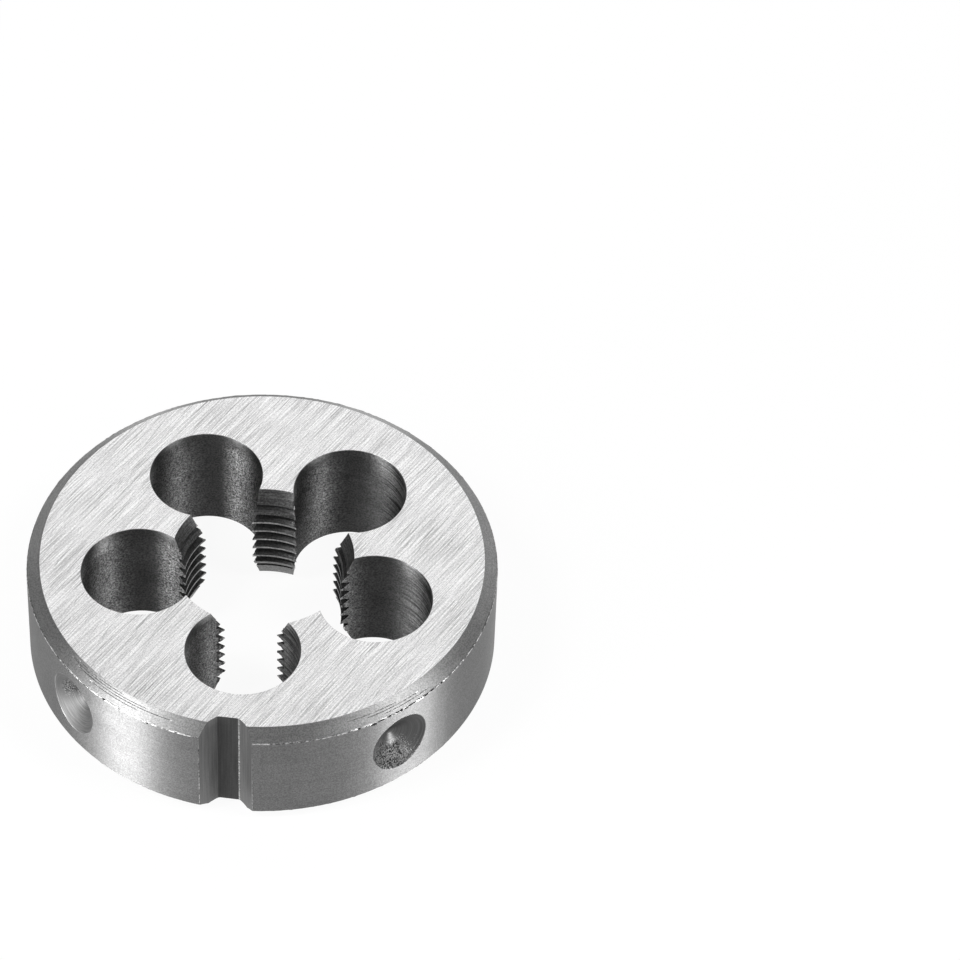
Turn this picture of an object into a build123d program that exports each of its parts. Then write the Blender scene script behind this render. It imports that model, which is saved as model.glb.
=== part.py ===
from build123d import *

import os
from math import acos, ceil, cos, degrees, floor, radians, sin, sqrt, tan

# Round threading die: one disc of hardened tool steel that cuts an outside thread on a rod.
# Millimetres. The origin is where the thread's axis meets the underside, +Z runs up that axis
# and the adjusting notch in the rim faces -Y. Angles are in degrees, counted from +X.

# Disc
die_diameter = 38.0
die_thickness = 10.0
edge_chamfer_width = 1.05  # across the flat faces
edge_chamfer_height = 0.9  # along the rim

# Right-hand thread that does the cutting. Its tooth form is the standard one for a screw's thread,
# with flat roots an eighth of the pitch wide and flat crests a sixth of it.
thread_diameter = 14.0  # over the roots, the size of the screw it cuts
thread_pitch = 1.0
thread_angle = 60.0  # between the two flanks of a tooth
crest_height_at_x = 0.75  # height at which the helix of crests first crosses the +X side

# Lead cones that open the bore at both faces, so that the first teeth cut gradually
lead_mouth_diameter = 14.8
lead_half_angle = 22.5

# Chip holes round the bore, which part the thread into toothed lands
chip_hole_count = 5
chip_hole_diameter = 9.2
chip_hole_bite = 0.89  # how far each hole reaches inside the crests of the teeth

# Adjusting notch down the whole rim
notch_angle = -90.0
notch_mouth_width = 4.2
notch_floor_width = 1.66
notch_depth = 1.85
notch_wall_radius = 3.9

# Conical seats in the rim for the screws that hold the die
screw_seat_diameter = 5.8
screw_seat_angle = 120.0  # between opposite sides of the cone
screw_seat_tip_radius = 0.8
screw_seat_height = 5.25  # of the cone's axis above the underside
screw_seat_turn = 44.0  # from the notch's line, both on its side and on the far side

# How far a cutter runs past the surface that it leaves through
overrun = 1.0

# Worked out from the sizes above
rim_radius = die_diameter / 2
root_radius = thread_diameter / 2
crest_flat = thread_pitch / 6
root_flat = thread_pitch / 8
flank_slope = tan(radians(thread_angle / 2))
tooth_height = (thread_pitch - crest_flat - root_flat) / 2 / flank_slope
crest_radius = root_radius - tooth_height
lead_mouth_radius = lead_mouth_diameter / 2
lead_depth = (lead_mouth_radius - crest_radius) / tan(radians(lead_half_angle))
chip_hole_radius = chip_hole_diameter / 2
chip_hole_circle_radius = crest_radius - chip_hole_bite + chip_hole_radius
chip_hole_step = 360 / chip_hole_count


def blank():
    """The turned disc with its chamfered edges, its bore and the cone at each end of the bore."""
    face_radius = rim_radius - edge_chamfer_width
    rim_top = die_thickness - edge_chamfer_height
    section = Plane.XZ * Polyline(
        (lead_mouth_radius, 0),
        (face_radius, 0),
        (rim_radius, edge_chamfer_height),
        (rim_radius, rim_top),
        (face_radius, die_thickness),
        (lead_mouth_radius, die_thickness),
        (crest_radius, die_thickness - lead_depth),
        (crest_radius, lead_depth),
        close=True,
    )
    return revolve(make_face(section), Axis.Z)


def chip_holes():
    """Straight holes through the disc on one circle. The first is in line with the notch."""
    drill = Pos(chip_hole_circle_radius, 0, -overrun) * Cylinder(
        chip_hole_radius,
        die_thickness + 2 * overrun,
        align=(Align.CENTER, Align.CENTER, Align.MIN),
    )
    return [Rot(0, 0, notch_angle + chip_hole_step * i) * drill for i in range(chip_hole_count)]


def notch():
    """The notch's cutter: a flat floor between two hollow walls, which steepen towards the rim."""
    floor_radius = rim_radius - notch_depth
    half_floor = notch_floor_width / 2
    half_mouth = notch_mouth_width / 2
    mouth_radius = sqrt(rim_radius**2 - half_mouth**2)
    outside = rim_radius + overrun
    right_wall = RadiusArc((floor_radius, half_floor), (mouth_radius, half_mouth), notch_wall_radius)
    left_wall = RadiusArc((floor_radius, -half_floor), (mouth_radius, -half_mouth), -notch_wall_radius)
    bottom = Line((floor_radius, -half_floor), (floor_radius, half_floor))
    way_out = Polyline(
        (mouth_radius, half_mouth), (outside, half_mouth), (outside, -half_mouth), (mouth_radius, -half_mouth)
    )
    section = make_face(Curve() + [bottom, right_wall, way_out, left_wall])
    cutter = extrude(section, die_thickness + 2 * overrun)
    return Pos(0, 0, -overrun) * Rot(0, 0, notch_angle) * cutter


def screw_seats():
    """Cutters for the conical seats in the rim, each with a slightly rounded tip."""
    half_angle = radians(screw_seat_angle / 2)
    apex_x = rim_radius - screw_seat_diameter / 2 / tan(half_angle)
    ball_x = apex_x + screw_seat_tip_radius / sin(half_angle)
    touch_x = ball_x - screw_seat_tip_radius * sin(half_angle)
    touch_y = screw_seat_tip_radius * cos(half_angle)
    outside = rim_radius + overrun
    outside_y = (outside - apex_x) * tan(half_angle)
    tip = RadiusArc((ball_x - screw_seat_tip_radius, 0), (touch_x, touch_y), screw_seat_tip_radius)
    side = Polyline((touch_x, touch_y), (outside, outside_y), (outside, 0), (ball_x - screw_seat_tip_radius, 0))
    cone = Pos(0, 0, screw_seat_height) * revolve(make_face(Curve() + [tip, side]), Axis.X)
    turns = [screw_seat_turn, -screw_seat_turn, 180 - screw_seat_turn, 180 + screw_seat_turn]
    return [Rot(0, 0, notch_angle + turn) * cone for turn in turns]


def thread_grooves():
    """Cutters for the grooves between the teeth: one short helical sweep, copied up every land.

    Each sweep crosses a land and ends in the chip holes beside it. Every copy lies on the same
    right-hand helix, so it sits higher by its share of the pitch as the lands go round.
    """
    squared = chip_hole_circle_radius**2 + root_radius**2 - chip_hole_radius**2
    hole_half_turn = degrees(acos(squared / (2 * chip_hole_circle_radius * root_radius)))
    sweep_turn = chip_hole_step - hole_half_turn
    tip_radius = crest_radius - root_flat
    half_root = root_flat / 2
    half_tip = half_root + (root_radius - tip_radius) * flank_slope

    rise = thread_pitch * sweep_turn / 360
    path = Rot(0, 0, -sweep_turn / 2) * Helix(thread_pitch, rise, crest_radius, center=(0, 0, -rise / 2))
    start = path @ 0
    outwards = Vector(start.X, start.Y, 0)
    section = Plane(origin=(0, 0, start.Z), x_dir=outwards, z_dir=outwards.rotate(Axis.Z, -90)) * Polyline(
        (tip_radius, -half_tip),
        (root_radius, -half_root),
        (root_radius, half_root),
        (tip_radius, half_tip),
        close=True,
    )
    groove = sweep(make_face(section), path=path, is_frenet=True)

    copies = []
    for i in range(chip_hole_count):
        land_angle = notch_angle + chip_hole_step * (i + 0.5)
        height_at_land = crest_height_at_x + thread_pitch * (land_angle / 360 + 0.5)
        lowest = floor(-height_at_land / thread_pitch)
        highest = ceil((die_thickness - height_at_land) / thread_pitch)
        for turn in range(lowest, highest + 1):
            place = Pos(0, 0, height_at_land + thread_pitch * turn) * Rot(0, 0, land_angle)
            copies.append(place * groove)
    return copies


os.makedirs("parts", exist_ok=True)
threading_die = blank() - chip_holes() - notch() - screw_seats() - thread_grooves()
threading_die.label = "threading_die"
export_step(threading_die, "parts/threading_die.step")
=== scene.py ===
from math import atan2, cos, degrees, pi, radians, sin, sqrt, tan

import bpy
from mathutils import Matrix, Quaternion, Vector


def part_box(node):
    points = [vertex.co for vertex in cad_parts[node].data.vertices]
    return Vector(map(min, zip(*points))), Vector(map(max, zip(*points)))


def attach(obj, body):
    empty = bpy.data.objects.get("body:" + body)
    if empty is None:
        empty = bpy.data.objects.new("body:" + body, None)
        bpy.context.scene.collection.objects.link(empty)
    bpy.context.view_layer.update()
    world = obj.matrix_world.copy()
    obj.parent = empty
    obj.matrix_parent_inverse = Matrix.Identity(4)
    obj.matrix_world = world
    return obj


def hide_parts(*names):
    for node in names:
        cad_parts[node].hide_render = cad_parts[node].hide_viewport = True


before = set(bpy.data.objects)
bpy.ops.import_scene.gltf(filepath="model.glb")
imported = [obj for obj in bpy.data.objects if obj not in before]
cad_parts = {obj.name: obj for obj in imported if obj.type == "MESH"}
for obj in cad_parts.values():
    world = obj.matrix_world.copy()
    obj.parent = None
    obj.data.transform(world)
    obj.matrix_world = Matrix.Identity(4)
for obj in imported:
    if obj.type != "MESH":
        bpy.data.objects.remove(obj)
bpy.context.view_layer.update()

# Camera. It looks down on the die from the front, from the photograph's place, through a long
# lens, so the die keeps its flat, nearly parallel sides.
bpy.ops.object.camera_add()
camera = bpy.context.object
camera.name = "photo_camera"
camera.location = (0.04076, -0.25588, 0.29695)
looked_at = Vector((0.01627, 0.01104, 0.010))
camera_roll = radians(2.627)
aim = (looked_at - camera.location).to_track_quat("-Z", "Y")
camera.rotation_mode = "QUATERNION"
camera.rotation_quaternion = aim @ Quaternion((0, 0, 1), camera_roll)
camera.data.sensor_width = 36
camera.data.lens = 179.77
camera.data.clip_start = 0.02
camera.data.clip_end = 20
bpy.context.scene.camera = camera


# The turned blank. One slice off a bar of tool steel, faced, bored, and turned to size on the
# rim, with a broad chamfer at both ends. The chamfer's outer edge keeps the burr of the cut.
mm = 0.001
same_point = mm / 2000
box_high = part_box("threading_die")[1]
rim_radius = min(box_high.x, box_high.y)
thickness = box_high.z
edge_chamfer_width = 1.05 * mm
edge_chamfer_height = 0.9 * mm
face_edge_break = 0.03 * mm
groove_depth = 0.03 * mm
groove_half_width = 0.035 * mm
burr_width = 0.1 * mm
burr_lip = 0.035 * mm
burr_raggedness = 0.035 * mm
lathe_steps = 480

# The grooves in the top chamfer. Each has its share of the way down, and where it starts and ends.
chamfer_grooves = (
    (0.14, -134, -118),
    (0.27, -136, -111),
    (0.4, -133, -104),
    (0.56, -128, -113),
    (0.4, -60, -47),
    (0.56, -55, -40),
    (0.72, -51, -37),
)

# The bore is turned to the crests of the later thread, and reamed to a lead cone at both ends.
thread_radius = 7.0 * mm
thread_pitch = 1.0 * mm
thread_flank_angle = radians(30)
crest_flat = thread_pitch / 6
root_flat = thread_pitch / 8
flank_slope = tan(thread_flank_angle)
crest_radius = thread_radius - (thread_pitch - crest_flat - root_flat) / 2 / flank_slope
lead_mouth_radius = 7.4 * mm
lead_half_angle = radians(22.5)
lead_depth = (lead_mouth_radius - crest_radius) / tan(lead_half_angle)


def put(tree, kind, inputs=(), **settings):
    """Puts a node into a node tree. An input given as a socket is linked, another value is set."""
    made = tree.nodes.new("ShaderNode" + kind)
    for name, value in settings.items():
        setattr(made, name, value)
    for name, value in dict(inputs).items():
        if isinstance(value, bpy.types.NodeSocket):
            tree.links.new(value, made.inputs[name])
        else:
            made.inputs[name].default_value = value
    return made


def work_out(tree, operation, *values):
    """Puts in a Math node and gives its output."""
    return put(tree, "Math", enumerate(values), operation=operation).outputs[0]


def spread(tree, value, low, high, reach=0.2, middle=0.5):
    """Gives a noise value a range of its own, from within a reach of its middle."""
    ends = {"From Min": middle - reach, "From Max": middle + reach, "To Min": low, "To Max": high}
    return put(tree, "MapRange", {"Value": value, **ends}).outputs["Result"]


def rising(tree, value, start, end):
    """Gives a ramp from 0, where a value is at its start, to 1, where it has reached its end."""
    ends = {"From Min": start, "From Max": end}
    return put(tree, "MapRange", {"Value": value, **ends}).outputs["Result"]


def parts_of(tree, vector):
    """Gives the X, Y and Z of a place or a direction."""
    return put(tree, "SeparateXYZ", {0: vector}).outputs


def off_axis(tree, xyz):
    """Gives how far a place lies off the die's axis."""
    squares = [work_out(tree, "POWER", xyz[letter], 2.0) for letter in "XY"]
    return work_out(tree, "SQRT", work_out(tree, "ADD", *squares))


def new_group(name, inputs, output):
    """Starts a shader node group with named inputs and one output, and gives its input sockets."""
    tree = bpy.data.node_groups.new(name, "ShaderNodeTree")
    for label, kind in inputs:
        tree.interface.new_socket(label, in_out="INPUT", socket_type="NodeSocket" + kind)
    tree.interface.new_socket(output, in_out="OUTPUT", socket_type="NodeSocketFloat")
    return tree, tree.nodes.new("NodeGroupInput").outputs


def finish_group(tree, value):
    """Links the one output of a node group."""
    tree.links.new(value, tree.nodes.new("NodeGroupOutput").inputs[0])
    return tree


def use_group(tree, group, **inputs):
    """Places a node group in a material and gives its output."""
    made = tree.nodes.new("ShaderNodeGroup")
    made.node_tree = group
    for name, value in inputs.items():
        if isinstance(value, bpy.types.NodeSocket):
            tree.links.new(value, made.inputs[name])
        else:
            made.inputs[name].default_value = value
    return made.outputs[0]


# Tool lines are the fine marks that a cutting edge leaves, long one way and narrow across.
line_inputs = [("Along", "Vector"), ("Across", "Float"), ("Length", "Float"), ("Width", "Float")]
tree, given = new_group("tool_lines", line_inputs, "Lines")
run = parts_of(tree, given["Along"])
stretched = {
    "X": work_out(tree, "DIVIDE", run["X"], given["Length"]),
    "Y": work_out(tree, "DIVIDE", run["Y"], given["Length"]),
    "Z": work_out(tree, "DIVIDE", given["Across"], given["Width"]),
}
place = put(tree, "CombineXYZ", stretched).outputs[0]
lines = put(tree, "TexNoise", {"Vector": place, "Scale": 1.0, "Detail": 3.0, "Roughness": 0.65})
tool_lines = finish_group(tree, lines.outputs[0])

# Grain is the fine, even speckle of a satin or scaled surface.
tree, given = new_group("grain", [("Place", "Vector"), ("Size", "Float")], "Grain")
finer = work_out(tree, "DIVIDE", 1.0, given["Size"])
place = put(tree, "VectorMath", {0: given["Place"], "Scale": finer}, operation="SCALE").outputs[0]
speckle = put(tree, "TexNoise", {"Vector": place, "Scale": 1.0, "Detail": 2.0, "Roughness": 0.6})
grain = finish_group(tree, speckle.outputs[0])


def new_steel(name, roughness, stretch):
    """Starts a bare steel, and gives its node tree, its shader and the place on the die."""
    material = bpy.data.materials.new(name)
    material.use_nodes = True
    tree = material.node_tree
    tree.nodes.clear()
    steel = {"Metallic": 1.0, "Roughness": roughness, "Anisotropic": stretch}
    shader = put(tree, "BsdfPrincipled", steel)
    put(tree, "OutputMaterial", {"Surface": shader.outputs[0]})
    return material, tree, shader, put(tree, "TexCoord").outputs["Object"]


def lay_lines(tree, shader, across):
    """Turns a steel's stretched gloss, so that it spreads across the lines that a tool has left."""
    way = put(tree, "CombineXYZ", dict(zip("XYZ", across))).outputs[0]
    tree.links.new(way, shader.inputs["Tangent"])


def colour_by(tree, shader, colour, *tones):
    """Colours a steel with one colour times all the tones that vary over it."""
    for tone in tones:
        colour = put(tree, "VectorMath", {0: colour, "Scale": tone}, operation="SCALE").outputs[0]
    tree.links.new(colour, shader.inputs["Base Color"])


def relief(tree, shader, height, depth):
    """Gives a steel the relief of a value, where 1 stands for a depth in metres."""
    raised = put(tree, "Bump", {"Height": height, "Distance": depth, "Strength": 1.0})
    tree.links.new(raised.outputs[0], shader.inputs["Normal"])


def turned_steel(name, brightness, roughness, line_width, line_contrast):
    """The finish of a turned surface: a satin skin with faint lines round the axis."""
    material, tree, shader, place = new_steel(name, roughness, stretch=0.92)
    lay_lines(tree, shader, (0, 0, 1))
    xyz = parts_of(tree, place)
    out_and_down = work_out(tree, "SUBTRACT", off_axis(tree, xyz), xyz["Z"])
    size = {"Length": 12 * mm, "Width": line_width}
    lines = use_group(tree, tool_lines, Along=place, Across=out_and_down, **size)
    satin = use_group(tree, grain, Place=place, Size=0.12 * mm)
    patches = use_group(tree, grain, Place=place, Size=2.5 * mm)
    colour_by(
        tree,
        shader,
        [brightness] * 3,
        spread(tree, satin, 0.76, 1.24, reach=0.15),
        spread(tree, lines, 1 - line_contrast, 1 + line_contrast),
        spread(tree, patches, 0.94, 1.06),
    )
    relief(tree, shader, work_out(tree, "ADD", satin, lines), 0.004 * mm)
    return material


def ground_steel():
    """The finish of the two faces: close straight lines of the grinding wheel, bright and clean."""
    material, tree, shader, place = new_steel("ground_face", roughness=0.33, stretch=0.4)
    wheel_angle = radians(62)
    lay_lines(tree, shader, (-sin(wheel_angle), cos(wheel_angle), 0))
    speckle = use_group(tree, grain, Place=place, Size=0.13 * mm)
    patches = use_group(tree, grain, Place=place, Size=5 * mm)
    tones = [spread(tree, speckle, 0.76, 1.1, reach=0.14), spread(tree, patches, 0.98, 1.02)]

    # The wheel's passes differ a little in angle. Each has its lines' length and width, their
    # darkest and lightest tone, and the reach and middle of the noise that gives them.
    for angle, length, width, dark, light, reach, middle in (
        (62, 6, 0.08, 0.74, 1.1, 0.07, 0.5),
        (64, 7, 0.09, 0.6, 1.0, 0.03, 0.4),
        (60, 7, 0.09, 0.66, 1.0, 0.03, 0.4),
        (61, 8, 0.1, 1.0, 1.15, 0.03, 0.6),
        (70, 5, 0.09, 0.68, 1.0, 0.03, 0.39),
    ):
        turned_back = {"Vector": place, "Rotation": (0, 0, -radians(angle))}
        xyz = parts_of(tree, put(tree, "Mapping", turned_back).outputs[0])
        strokes = put(tree, "CombineXYZ", {"X": xyz["X"]}).outputs[0]
        size = {"Length": length * mm, "Width": width * mm}
        lines = use_group(tree, tool_lines, Along=strokes, Across=xyz["Y"], **size)
        tones.append(spread(tree, lines, dark, light, reach, middle))
    colour_by(tree, shader, [0.91, 0.907, 0.91], *tones)
    relief(tree, shader, lines, 0.004 * mm)
    return material


def bright_steel():
    """The finish of an edge that was broken with a stone: bare, light and slightly uneven."""
    material, tree, shader, place = new_steel("bright_edge", roughness=0.42, stretch=0.0)
    nicks = use_group(tree, grain, Place=place, Size=0.3 * mm)
    colour_by(tree, shader, [0.36] * 3, spread(tree, nicks, 0.2, 1.6, reach=0.1))
    relief(tree, shader, nicks, 0.01 * mm)
    return material


def cut_steel(name, brightness, contrast):
    """The finish of the bore and its teeth: fine lines round the axis and a mottled tone."""
    material, tree, shader, place = new_steel(name, roughness=0.4, stretch=0.5)
    lay_lines(tree, shader, (0, 0, 1))
    xyz = parts_of(tree, place)
    size = {"Length": 1.5 * mm, "Width": 0.06 * mm}
    lines = use_group(tree, tool_lines, Along=place, Across=xyz["Z"], **size)
    mottle = use_group(tree, grain, Place=place, Size=0.16 * mm)
    ends = (1 - contrast, 1 + contrast)
    tones = [spread(tree, value, *ends, reach=0.15) for value in (lines, mottle)]
    colour_by(tree, shader, [brightness] * 3, *tones)
    relief(tree, shader, work_out(tree, "ADD", lines, mottle), 0.008 * mm)
    return material


rim_finish = turned_steel(
    "turned_rim", brightness=0.21, roughness=0.45, line_width=0.1 * mm, line_contrast=0.08
)
chamfer_finish = turned_steel(
    "turned_chamfer", brightness=0.33, roughness=0.6, line_width=0.25 * mm, line_contrast=0.1
)
face_finish = ground_steel()
edge_finish = bright_steel()
cone_finish = cut_steel("reamed_cone", brightness=0.16, contrast=0.4)
crest_finish = cut_steel("rubbed_crest", brightness=0.24, contrast=0.45)


def deselect_all():
    """Leaves nothing selected and no object in edit mode."""
    if bpy.context.object and bpy.context.object.mode != "OBJECT":
        bpy.ops.object.mode_set(mode="OBJECT")
    bpy.ops.object.select_all(action="DESELECT")


def edit(piece, part="FACE"):
    """Opens one object in edit mode with nothing selected in it, to pick faces, edges or points."""
    deselect_all()
    bpy.context.view_layer.objects.active = piece
    piece.select_set(True)
    bpy.ops.object.mode_set(mode="EDIT")
    bpy.ops.mesh.select_mode(type=part)
    bpy.ops.mesh.select_all(action="DESELECT")


def pick(piece, elements, test):
    """Selects the faces, edges or points of an object in edit mode that pass a test."""
    bpy.ops.object.mode_set(mode="OBJECT")
    for element in getattr(piece.data, elements):
        element.select = bool(test(element))
    bpy.ops.object.mode_set(mode="EDIT")


def draw_out(step):
    """Extrudes what is selected in edit mode by one step."""
    bpy.ops.mesh.extrude_region_move(TRANSFORM_OT_translate={"value": step})


def outline(name, points):
    """Draws a chain of edges: a small plane is merged to one point, which is then drawn out."""
    deselect_all()
    bpy.ops.mesh.primitive_plane_add(size=mm)
    piece = bpy.context.object
    piece.name = name
    edit(piece, "VERT")
    bpy.ops.mesh.select_all(action="SELECT")
    bpy.ops.mesh.merge(type="CENTER")
    bpy.ops.transform.translate(value=points[0])
    for start, end in zip(points, points[1:]):
        draw_out(Vector(end) - Vector(start))
    return piece


def close_up(piece):
    """Merges the seam of a swept or spun shape in edit mode and turns its faces outwards."""
    bpy.ops.mesh.select_all(action="SELECT")
    bpy.ops.mesh.remove_doubles(threshold=same_point)
    bpy.ops.mesh.normals_make_consistent(inside=False)
    bpy.ops.object.mode_set(mode="OBJECT")


def give_finishes(piece, finishes, choose):
    """Gives an object its finishes, and each of its faces the one that is chosen for it."""
    for finish in finishes:
        piece.data.materials.append(finish)
    for face in piece.data.polygons:
        face.material_index = finishes.index(choose(face))


face_radius = rim_radius - edge_chamfer_width
rim_top = thickness - edge_chamfer_height
down_chamfer = Vector((edge_chamfer_width, -edge_chamfer_height))
groove_step = down_chamfer.normalized() * groove_half_width
groove_rings = []
for share in sorted({share for share, start, end in chamfer_grooves}):
    middle = Vector((face_radius, thickness)) + down_chamfer * share
    groove_rings += [middle - groove_step, middle, middle + groove_step]
top_half = [
    (crest_radius, thickness - lead_depth),
    (lead_mouth_radius, thickness),
    (face_radius - face_edge_break, thickness),
    (face_radius + face_edge_break, thickness - face_edge_break),
    *groove_rings,
    (rim_radius - burr_width, rim_top + burr_width * edge_chamfer_height / edge_chamfer_width),
    (rim_radius - burr_lip, rim_top + burr_lip),
    (rim_radius, rim_top - burr_width / 4),
]
bottom_half = [(radius, thickness - height) for radius, height in reversed(top_half)]
section = [(radius, 0, height) for radius, height in top_half + bottom_half + top_half[:1]]
die = outline("die_body", section)
bpy.ops.mesh.select_all(action="SELECT")
bpy.ops.mesh.spin(steps=lathe_steps, angle=2 * pi, center=(0, 0, 0), axis=(0, 0, 1))
close_up(die)


def in_groove(point):
    """Whether a point of the blank lies in a groove in the top chamfer, and not at its edge."""
    share = (point.xy.length - face_radius) / edge_chamfer_width
    angle = degrees(atan2(point.y, point.x))
    half_share = 0.9 * groove_half_width / down_chamfer.length
    return point.z > thickness / 2 and any(
        abs(share - middle) < half_share and start < angle < end
        for middle, start, end in chamfer_grooves
    )


def finish_of_blank(face):
    """The finish of a face, by where it lies on the blank."""
    radius = face.center.xy.length
    flatness = abs(face.normal.z)
    if radius < lead_mouth_radius:
        return cone_finish if flatness > 0.1 else crest_finish
    if flatness > 0.99:
        return face_finish
    if radius < rim_radius - burr_width:
        return crest_finish if in_groove(face.center) else chamfer_finish
    if radius < rim_radius - burr_lip:
        return crest_finish
    return edge_finish if radius < rim_radius - burr_lip / 5 else rim_finish


give_finishes(
    die,
    [cone_finish, crest_finish, face_finish, edge_finish, chamfer_finish, rim_finish],
    finish_of_blank,
)

# The lathe tool has dug fine grooves into the top chamfer, on both sides of the notch.
edit(die, "VERT")
pick(die, "vertices", lambda point: in_groove(point.co))
bpy.ops.transform.shrink_fatten(value=-groove_depth)
bpy.ops.object.mode_set(mode="OBJECT")

# The burr's middle ring is pushed about a little, so that it runs ragged round both ends.
lip_radius = rim_radius - burr_lip
edit(die, "VERT")
pick(die, "vertices", lambda point: abs(point.co.xy.length - lip_radius) < burr_lip / 4)
bpy.ops.transform.vertex_random(offset=burr_raggedness, seed=4)
bpy.ops.object.mode_set(mode="OBJECT")


# The chip holes. Five straight holes drilled through the disc on one circle, one in line with
# the notch. Both ends have a fine edge break, which catches the light round every hole.
hole_count = 5
hole_radius = 4.6 * mm
hole_bite = 0.89 * mm
hole_circle_radius = crest_radius - hole_bite + hole_radius
hole_edge_break = 0.03 * mm
hole_sides = 240
notch_angle = radians(-90)
overrun = 1.0 * mm


def drilled_steel():
    """The finish of the chip holes: dark from the hardening, ringed by the drill's lips, with
    painted highlights.
    """
    material, tree, shader, place = new_steel("drilled_wall", roughness=0.62, stretch=0.98)
    lay_lines(tree, shader, (0, 0, 1))
    xyz = parts_of(tree, place)
    climb = work_out(tree, "ADD", xyz["Z"], work_out(tree, "MULTIPLY", xyz["X"], 0.1))
    fine_size = {"Length": 1.5 * mm, "Width": 0.12 * mm}
    fine = use_group(tree, tool_lines, Along=place, Across=climb, **fine_size)
    ring_size = {"Length": 4 * mm, "Width": 0.2 * mm}
    rings = use_group(tree, tool_lines, Along=place, Across=climb, **ring_size)
    scale = use_group(tree, grain, Place=place, Size=0.15 * mm)
    patches = use_group(tree, grain, Place=place, Size=2.5 * mm)
    facing = parts_of(tree, put(tree, "TexCoord").outputs["Normal"])["X"]

    # Painted highlights, which differ from wall to wall and take the drill's rings and the scale's
    # speckle:
    # ringed bands on the right-hand walls of the holes on the right, and speckled ones below the
    # mouth on the right-hand walls of the holes on the left and, fainter, on every left-hand wall.
    left_walls = rising(tree, facing, 0.2, 0.6)
    right_walls = rising(tree, facing, -0.1, -0.4)
    outermost_walls = rising(tree, facing, -0.35, -0.85)
    left_holes = rising(tree, xyz["X"], -1 * mm, -3 * mm)
    right_holes = rising(tree, xyz["X"], 2 * mm, 3 * mm)
    below_mouth = rising(tree, xyz["Z"], thickness - 0.5 * mm, thickness - 1.5 * mm)
    ringed_highlight_mask = work_out(tree, "MULTIPLY", outermost_walls, right_holes)
    speckled_highlight_mask = work_out(tree, "MULTIPLY", right_walls, left_holes)
    specks = work_out(tree, "MULTIPLY", speckled_highlight_mask, spread(tree, scale, 0.0, 3.2, reach=0.16))
    fewer = spread(tree, scale, -0.1, 1.5, reach=0.2)
    specks = work_out(tree, "MULTIPLY_ADD", left_walls, fewer, specks)
    painted_highlights = work_out(tree, "MULTIPLY_ADD", ringed_highlight_mask, spread(tree, rings, -0.5, 3.0, reach=0.1), 1.0)
    painted_highlights = work_out(tree, "MULTIPLY_ADD", below_mouth, specks, painted_highlights)
    colour_by(
        tree,
        shader,
        [0.1] * 3,
        spread(tree, fine, 0.88, 1.12, reach=0.15),
        spread(tree, scale, 0.62, 1.4, reach=0.15),
        spread(tree, patches, 0.85, 1.2),
        painted_highlights,
    )
    relief(tree, shader, work_out(tree, "ADD", fine, scale), 0.01 * mm)
    return material


hole_finish = drilled_steel()


def cut(piece, cutter):
    """Takes one solid out of another. The cut faces keep the cutter's own finish."""
    deselect_all()
    bpy.context.view_layer.objects.active = piece
    piece.select_set(True)
    cutting = piece.modifiers.new("cut", "BOOLEAN")
    cutting.operation = "DIFFERENCE"
    cutting.solver = "MANIFOLD"
    cutting.material_mode = "TRANSFER"
    cutting.object = cutter
    bpy.ops.object.modifier_apply(modifier=cutting.name)
    bpy.data.objects.remove(cutter)


for number in range(hole_count):
    angle = notch_angle + 2 * pi * number / hole_count
    deselect_all()
    bpy.ops.mesh.primitive_cylinder_add(
        vertices=hole_sides,
        radius=hole_radius,
        depth=thickness - 2 * hole_edge_break,
        location=(hole_circle_radius * cos(angle), hole_circle_radius * sin(angle), thickness / 2),
    )
    drill = bpy.context.object
    bpy.ops.object.transform_apply(location=True)
    flare = (hole_radius + hole_edge_break) / hole_radius
    for side in (1, -1):
        edit(drill)
        pick(drill, "polygons", lambda face: face.normal.z * side > 0.9)
        draw_out((0, 0, side * hole_edge_break))
        bpy.ops.transform.resize(value=(flare, flare, 1))
        draw_out((0, 0, side * overrun))
        bpy.ops.object.mode_set(mode="OBJECT")
    give_finishes(
        drill,
        [hole_finish, crest_finish],
        lambda face: crest_finish if abs(face.normal.z) > 0.1 else hole_finish,
    )
    cut(die, drill)


# The notch. A form cutter runs down the whole rim and leaves a flat floor between two hollow
# walls. The middle screw of a die stock sits in it. Its mouth is eased by a fine edge break.
notch_mouth_width = 4.2 * mm
notch_floor_width = 1.66 * mm
notch_depth = 1.85 * mm
notch_wall_radius = 3.9 * mm
notch_edge_break = 0.09 * mm
notch_corner = 0.08 * mm
wall_steps = 16


def milled_steel(name, brightness):
    """The finish of the notch: dark, with straight lines down the cutter's way."""
    material, tree, shader, place = new_steel(name, roughness=0.62, stretch=0.0)
    xyz = parts_of(tree, place)
    down = put(tree, "CombineXYZ", {"X": xyz["Z"]}).outputs[0]
    size = {"Length": 6 * mm, "Width": 0.12 * mm}
    lines = use_group(tree, tool_lines, Along=down, Across=xyz["X"], **size)
    satin = use_group(tree, grain, Place=place, Size=0.1 * mm)
    tones = (spread(tree, lines, 0.75, 1.25), spread(tree, satin, 0.9, 1.1))
    colour_by(tree, shader, [brightness] * 3, *tones)
    relief(tree, shader, lines, 0.006 * mm)
    return material


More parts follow.
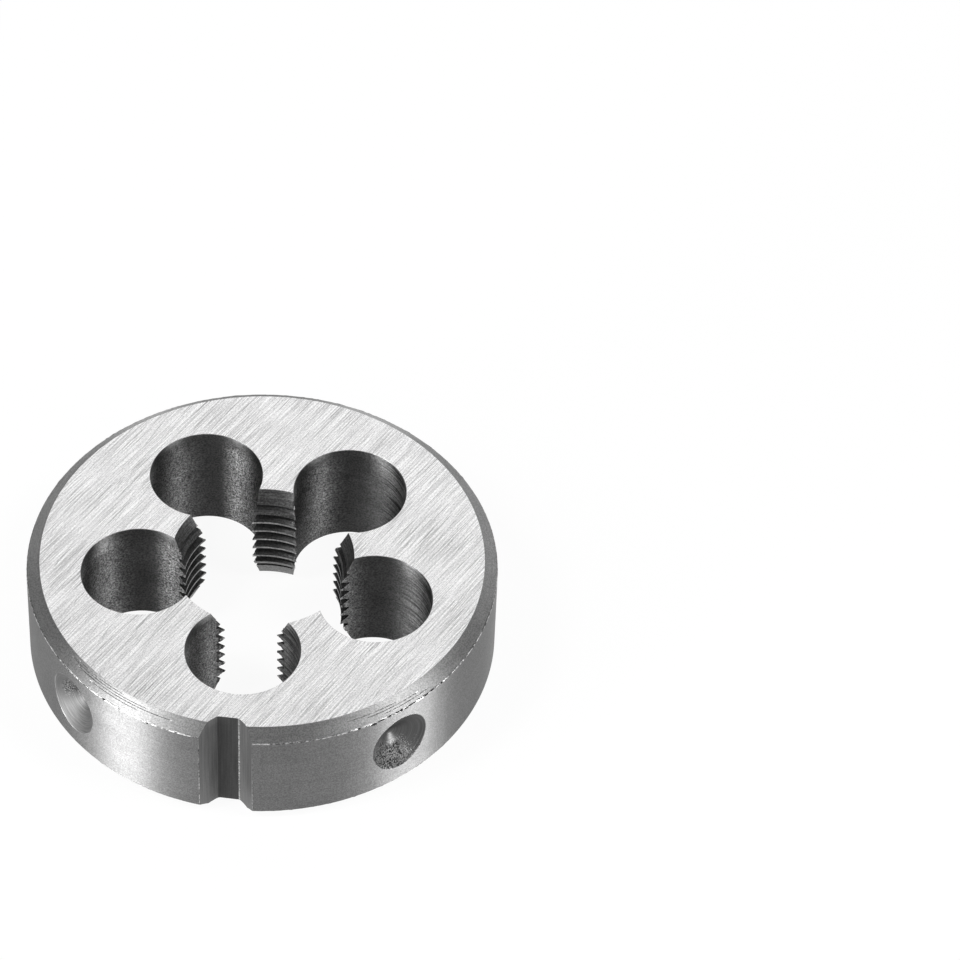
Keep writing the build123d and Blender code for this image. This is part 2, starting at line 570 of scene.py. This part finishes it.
# The right-hand wall is an arc from the floor to the mouth, with a small facet at its foot and
# the edge break at its top. It is drawn first, and the left-hand one is its mirror image.
half_floor = Vector((notch_floor_width / 2, notch_depth - rim_radius))
half_mouth = Vector((notch_mouth_width / 2, -sqrt(rim_radius**2 - notch_mouth_width**2 / 4)))
chord = half_mouth - half_floor
into_notch = Vector((chord.y, -chord.x)).normalized()
centre_distance = sqrt(notch_wall_radius**2 - chord.length_squared / 4)
wall_centre = (half_floor + half_mouth) / 2 + into_notch * centre_distance
first = half_floor - wall_centre
wall_turn = -first.angle_signed(half_mouth - wall_centre)
right_wall = []
for step in range(wall_steps + 1):
    angle = wall_turn * step / wall_steps
    spoke_x = first.x * cos(angle) - first.y * sin(angle)
    spoke_y = first.x * sin(angle) + first.y * cos(angle)
    right_wall.append(wall_centre + Vector((spoke_x, spoke_y)))
right_wall[0] = (right_wall[0] + right_wall[1]) / 2
right_wall.insert(0, Vector((half_floor.x - notch_corner, half_floor.y)))
right_wall[-1].y += notch_edge_break
eased = Vector((half_mouth.x + notch_edge_break, half_mouth.y - notch_edge_break))
right_side = right_wall + [eased, Vector((eased.x, -rim_radius - overrun))]
left_side = [Vector((-point.x, point.y)) for point in reversed(right_side)]
loop = [(point.x, point.y, -overrun) for point in right_side + left_side + right_side[:1]]
mill = outline("form_cutter", loop)
bpy.ops.mesh.select_all(action="SELECT")
bpy.ops.mesh.remove_doubles(threshold=same_point)
bpy.ops.mesh.edge_face_add()
draw_out((0, 0, thickness + 2 * overrun))
close_up(mill)


# The floor is the walls' milled steel painted darker, as painted shade.
notch_floor_with_painted_shade = milled_steel("milled_floor_painted_shade", brightness=0.062)
notch_wall_finish = milled_steel("milled_wall", brightness=0.13)


def finish_of_notch(face):
    """The finish of a face: floor painted darker as painted shade, lighter walls, bright mouth, and
    a painted highlight on the right-hand corner.
    """
    # The right-hand corner facet takes the lighter crest steel as a painted highlight, the
    # left-hand one the floor's.
    if abs(face.center.x - half_floor.x) < notch_corner / 2:
        return crest_finish
    off_middle = abs(face.center.x)
    if 0 < off_middle - half_mouth.x < notch_edge_break * 0.9:
        return edge_finish
    return notch_wall_finish if off_middle > half_floor.x + notch_corner / 2 else notch_floor_with_painted_shade


give_finishes(
    mill,
    [notch_floor_with_painted_shade, notch_wall_finish, edge_finish, crest_finish],
    finish_of_notch,
)
cut(die, mill)


# The screw seats. Four blunt cones in the rim, 44 degrees to both sides of the notch's line, in
# front and behind. The points of the die stock's screws press into them.
seat_radius = 2.9 * mm
seat_half_angle = radians(60)
seat_tip_radius = 0.8 * mm
seat_height = 5.25 * mm
seat_turn = radians(44)
seat_sides = 160
seat_tip_steps = 6


def countersunk_steel():
    """The finish of a screw seat: smooth and dark, but rough where the tool has chattered."""
    material, tree, shader, place = new_steel("countersunk_seat", roughness=0.5, stretch=0.0)
    xyz = parts_of(tree, place)
    facing = parts_of(tree, put(tree, "TexCoord").outputs["Normal"])
    chatter = use_group(tree, grain, Place=place, Size=0.13 * mm)
    patches = use_group(tree, grain, Place=place, Size=1.2 * mm)

    # The cutter's rings run round the seat's axis. Reach is how far a place lies along it.
    mirrored = put(tree, "VectorMath", {0: place}, operation="ABSOLUTE").outputs[0]
    axis = (sin(seat_turn), cos(seat_turn), 0)
    along_axis = put(tree, "VectorMath", {0: mirrored, 1: axis}, operation="DOT_PRODUCT")
    reach = along_axis.outputs["Value"]
    size = {"Length": 2 * mm, "Width": 0.05 * mm}
    rings = use_group(tree, tool_lines, Along=place, Across=reach, **size)

    # The chatter is on the left, low in the right-hand seats and high in the others. It stays off
    # the tip of the right-hand seats, and gathers round it in the others. Hand is 1 on the right
    # and -1 on the left.
    hand = work_out(tree, "SIGN", xyz["X"])
    lower = work_out(tree, "MULTIPLY", facing["Z"], hand)
    leftward = work_out(tree, "SUBTRACT", facing["X"], work_out(tree, "MULTIPLY", hand, 0.6))
    side = work_out(tree, "ADD", lower, leftward)
    for ragged in (spread(tree, patches, -0.15, 0.15), spread(tree, chatter, -0.2, 0.2)):
        side = work_out(tree, "ADD", side, ragged)
    above_bend = work_out(tree, "SUBTRACT", reach, rim_radius - 0.83 * mm)
    off_tip = rising(tree, work_out(tree, "MULTIPLY", hand, above_bend), -0.4 * mm, -0.15 * mm)
    rough = work_out(tree, "MULTIPLY", rising(tree, side, 0.05, 0.35), off_tip)
    smooth_dullness = work_out(tree, "MULTIPLY_ADD", hand, -0.075, 0.525)
    rough_dullness = work_out(tree, "MULTIPLY", rough, 0.7)
    dullness = work_out(tree, "MAXIMUM", smooth_dullness, rough_dullness)
    tree.links.new(dullness, shader.inputs["Roughness"])
    specks = work_out(tree, "SUBTRACT", spread(tree, chatter, 0.05, 2.0, reach=0.1), 1.0)

    # The mouth is worn bright.
    mouth = rising(tree, off_axis(tree, xyz), rim_radius - 0.06 * mm, rim_radius)
    worn = work_out(tree, "MULTIPLY", mouth, spread(tree, patches, 0.0, 2.0))
    colour_by(
        tree,
        shader,
        [0.11] * 3,
        # The left-hand seats are painted lighter and the right-hand ones darker, as painted light
        # and shade.
        work_out(tree, "MULTIPLY_ADD", hand, -0.2, 1.0),
        spread(tree, rings, 0.75, 1.25, reach=0.15),
        work_out(tree, "ADD", 1.0, work_out(tree, "MULTIPLY", rough, specks)),
        work_out(tree, "ADD", 1.0, worn),
    )
    uneven = work_out(tree, "MULTIPLY_ADD", chatter, rough, work_out(tree, "MULTIPLY", rings, 0.2))
    relief(tree, shader, uneven, 0.025 * mm)
    return material


seat_finish = countersunk_steel()
seat_depth = seat_radius / tan(seat_half_angle) - seat_tip_radius * (1 / sin(seat_half_angle) - 1)
tip_flat = seat_tip_radius * tan((pi / 2 - seat_half_angle) / 2)
cutter_length = seat_depth + overrun
cutter_radius = tip_flat + cutter_length * tan(seat_half_angle)
for turn in (seat_turn, -seat_turn, pi - seat_turn, pi + seat_turn):
    angle = notch_angle + turn
    outwards = Vector((cos(angle), sin(angle), 0))
    deselect_all()
    bpy.ops.mesh.primitive_cone_add(
        vertices=seat_sides, radius1=cutter_radius, radius2=tip_flat, depth=cutter_length
    )
    sink = bpy.context.object
    edit(sink, "EDGE")
    points = sink.data.vertices
    pick(sink, "edges", lambda edge: all(points[number].co.z > 0 for number in edge.vertices))
    bpy.ops.mesh.bevel(
        offset=tip_flat * 0.98, offset_type="OFFSET", segments=seat_tip_steps, clamp_overlap=False
    )
    bpy.ops.object.mode_set(mode="OBJECT")
    sink.rotation_mode = "QUATERNION"
    sink.rotation_quaternion = (-outwards).to_track_quat("Z", "Y")
    middle_radius = rim_radius - seat_depth + cutter_length / 2
    sink.location = outwards * middle_radius + Vector((0, 0, seat_height))
    bpy.ops.object.transform_apply(location=True, rotation=True)
    give_finishes(sink, [seat_finish], lambda face: seat_finish)
    cut(die, sink)


# The nicks. Handling has knocked small chips out of the rim's upper edge, most of them above the
# right-hand screw seat in front. They show rough grey steel under the turned skin.
nick_depth = 0.14 * mm
nick_roughness = 0.05 * mm

# Each nick has its angle round the rim, and its height, length and breadth in millimetres.
nicks = (
    (-53.7, 8.98, 0.55, 0.26),
    (-51.6, 9.1, 0.9, 0.12),
    (-49.4, 9.13, 0.5, 0.14),
    (-47.5, 9.12, 0.8, 0.11),
    (-46.0, 9.15, 0.3, 0.3),
    (-44.6, 9.08, 0.5, 0.13),
    (-42.6, 9.14, 1.0, 0.14),
    (-40.3, 9.24, 1.0, 0.22),
    (-38.4, 9.12, 0.6, 0.16),
    (-36.3, 9.14, 0.5, 0.12),
    (-33.0, 9.1, 0.3, 0.12),
    (-57.5, 9.1, 0.3, 0.1),
    (-109.5, 9.05, 0.3, 0.16),
    (-122.2, 9.12, 0.35, 0.14),
)
nick_finish = cut_steel("torn_nick", brightness=0.06, contrast=0.4)
for number, (angle, height, length, breadth) in enumerate(nicks):
    outwards = Vector((cos(radians(angle)), sin(radians(angle)), 0))
    deselect_all()
    bpy.ops.mesh.primitive_ico_sphere_add(subdivisions=2, radius=mm)
    chip = bpy.context.object
    edit(chip, "VERT")
    bpy.ops.mesh.select_all(action="SELECT")
    bpy.ops.transform.resize(value=(nick_depth / mm, length / 2, breadth / 2))
    bpy.ops.transform.vertex_random(offset=nick_roughness, seed=number)
    bpy.ops.object.mode_set(mode="OBJECT")
    chip.rotation_euler = (0, 0, radians(angle))
    chip.location = outwards * rim_radius + Vector((0, 0, height * mm))
    bpy.ops.object.transform_apply(location=True, rotation=True)
    give_finishes(chip, [nick_finish], lambda face: nick_finish)
    cut(die, chip)


# The thread. It is cut last, through what the chip holes have left of the bore, so it stands on
# five lands. Its teeth follow one right-hand helix and run out in the lead cones.
helix_steps = 180
hob_turns = 13
hob_turns_below = 2.5
crest_height_at_x = 0.75 * mm
hob_core_radius = crest_radius - root_flat
half_root = root_flat / 2
half_core = half_root + (thread_radius - hob_core_radius) * flank_slope
start_height = crest_height_at_x - hob_turns_below * thread_pitch
hob_profile = [
    (hob_core_radius, 0, start_height - thread_pitch / 2),
    (hob_core_radius, 0, start_height - half_core),
    (thread_radius, 0, start_height - half_root),
    (thread_radius, 0, start_height + half_root),
    (hob_core_radius, 0, start_height + half_core),
    (hob_core_radius, 0, start_height + thread_pitch / 2),
]
hob = outline("hob", hob_profile)
bpy.ops.object.mode_set(mode="OBJECT")
winding = hob.modifiers.new("winding", "SCREW")
winding.angle = 2 * pi
winding.screw_offset = thread_pitch
winding.steps = helix_steps
winding.render_steps = helix_steps
winding.iterations = hob_turns
bpy.ops.object.modifier_apply(modifier=winding.name)
edit(hob)
bpy.ops.mesh.select_all(action="SELECT")
bpy.ops.mesh.remove_doubles(threshold=same_point)
for height, side in ((-overrun / 2, -1), (thickness + overrun / 2, 1)):
    bpy.ops.mesh.select_all(action="SELECT")
    bpy.ops.mesh.bisect(
        plane_co=(0, 0, height),
        plane_no=(0, 0, side),
        use_fill=True,
        clear_outer=True,
        threshold=same_point / 5,
    )
close_up(hob)
thread_finish = cut_steel("cut_thread", brightness=0.06, contrast=0.35)
give_finishes(hob, [thread_finish], lambda face: thread_finish)
cut(die, hob)

# The cut throws up a small burr where each tooth ends at a chip hole.
tooth_burr = 0.05 * mm
burr_facet = 0.19 * mm
found_within = mm / 100
hole_axes = [notch_angle + 2 * pi * number / hole_count for number in range(hole_count)]
hole_centres = [hole_circle_radius * Vector((cos(angle), sin(angle))) for angle in hole_axes]


def at_tooth_end(point):
    """Whether a point of the thread lies on the wall of a chip hole."""
    place = point.co.xy
    if not crest_radius - 2 * found_within < place.length < thread_radius + 2 * found_within:
        return False
    return any(abs((place - centre).length - hole_radius) < found_within for centre in hole_centres)


edit(die, "VERT")
pick(die, "vertices", at_tooth_end)
bpy.ops.transform.vertex_random(offset=tooth_burr, seed=2)
bpy.ops.object.mode_set(mode="OBJECT")
tooth_ends = {point.index for point in die.data.vertices if point.select}
burr_number = die.data.materials.find(edge_finish.name)
for face in die.data.polygons:
    if face.area < burr_facet**2 and len(tooth_ends.intersection(face.vertices)) > 1:
        face.material_index = burr_number


# The die is done. Its flat and round faces meet in sharp edges, and the round ones look smooth.
smooth_below = radians(16)
deselect_all()
bpy.context.view_layer.objects.active = die
die.select_set(True)
bpy.ops.object.shade_smooth_by_angle(angle=smooth_below)
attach(die, "root")
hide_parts("threading_die")


# The floor and the light. A plain white floor under a soft grey sky. Each side has a strip light
# low down and a small lamp high up. Large panels stand behind, and a soft fill in front.
floor_width = 6
floor_brightness = 0.9
floor_glow_share = 0.93
sky_brightness = 0.1
deselect_all()
bpy.ops.mesh.primitive_plane_add(size=floor_width)
floor = bpy.context.object
floor.name = "floor"
floor_paint = bpy.data.materials.new("floor_paint")
floor_paint.use_nodes = True
tree = floor_paint.node_tree
tree.nodes.clear()
matt = put(tree, "BsdfDiffuse", {"Color": [floor_brightness] * 3 + [1]})
white = put(tree, "Emission", {"Color": (1, 1, 1, 1), "Strength": 1.0})

# The floor's own white shows to the camera, and in what mirrors it or lets it through. A share of
# the floor is left to the lamps, so that it keeps the die's shadow.
ray = put(tree, "LightPath").outputs
mirrored = work_out(tree, "MAXIMUM", ray["Is Glossy Ray"], ray["Is Transmission Ray"])
seen_or_mirrored = work_out(tree, "MAXIMUM", ray["Is Camera Ray"], mirrored)
glow = work_out(tree, "MULTIPLY", seen_or_mirrored, floor_glow_share)
paint = put(tree, "MixShader", {0: glow, 1: matt.outputs[0], 2: white.outputs[0]})
put(tree, "OutputMaterial", {"Surface": paint.outputs[0]})
floor.data.materials.append(floor_paint)

world = bpy.data.worlds.new("studio")
world.use_nodes = True
bpy.context.scene.world = world
tree = world.node_tree
tree.nodes.clear()
sky = put(tree, "Background", {"Color": (1, 1, 1, 1), "Strength": sky_brightness})
put(tree, "OutputWorld", {"Surface": sky.outputs[0]})

# At 4 watts to the square metre, a lamp of brightness 1 is a little brighter than plain white.
lamp_distance = 0.5
watts_per_brightness = 4


def soft_light(name, azimuths, elevations, brightness):
    """Adds an oblong lamp that fills a range of azimuths, counted from +X, and of elevations."""
    turn, rise = radians(sum(azimuths) / 2), radians(sum(elevations) / 2)
    wide, tall = radians(azimuths[1] - azimuths[0]), radians(elevations[1] - elevations[0])
    deselect_all()
    bpy.ops.object.light_add(type="AREA")
    lamp = bpy.context.object
    lamp.name = name
    lamp.data.shape = "RECTANGLE"
    lamp.data.size = 2 * lamp_distance * sin(wide / 2) * cos(rise)
    lamp.data.size_y = 2 * lamp_distance * sin(tall / 2)
    lamp.data.energy = watts_per_brightness * lamp.data.size * lamp.data.size_y * brightness
    towards = Vector((cos(turn) * cos(rise), sin(turn) * cos(rise), sin(rise)))
    lamp.location = towards * lamp_distance
    lamp.rotation_mode = "QUATERNION"
    lamp.rotation_quaternion = (-towards).to_track_quat("-Z", "Y")


soft_light("left_strip", azimuths=(-148, -128), elevations=(1, 7), brightness=90.0)
soft_light("left_side", azimuths=(-168, -150), elevations=(24, 46), brightness=4.8)
soft_light("left_high", azimuths=(-156, -138), elevations=(48, 66), brightness=17.0)
soft_light("right_strip", azimuths=(-32, -8), elevations=(1, 7), brightness=57.0)
soft_light("right_high", azimuths=(-26, 0), elevations=(48, 64), brightness=13.0)
soft_light("front_fill", azimuths=(-150, -30), elevations=(15, 60), brightness=0.5)
soft_light("low_panel_behind", azimuths=(25, 85), elevations=(2, 25), brightness=0.9)
soft_light("high_panel_behind", azimuths=(30, 155), elevations=(28, 62), brightness=0.86)

bpy.context.scene.view_settings.view_transform = "Standard"
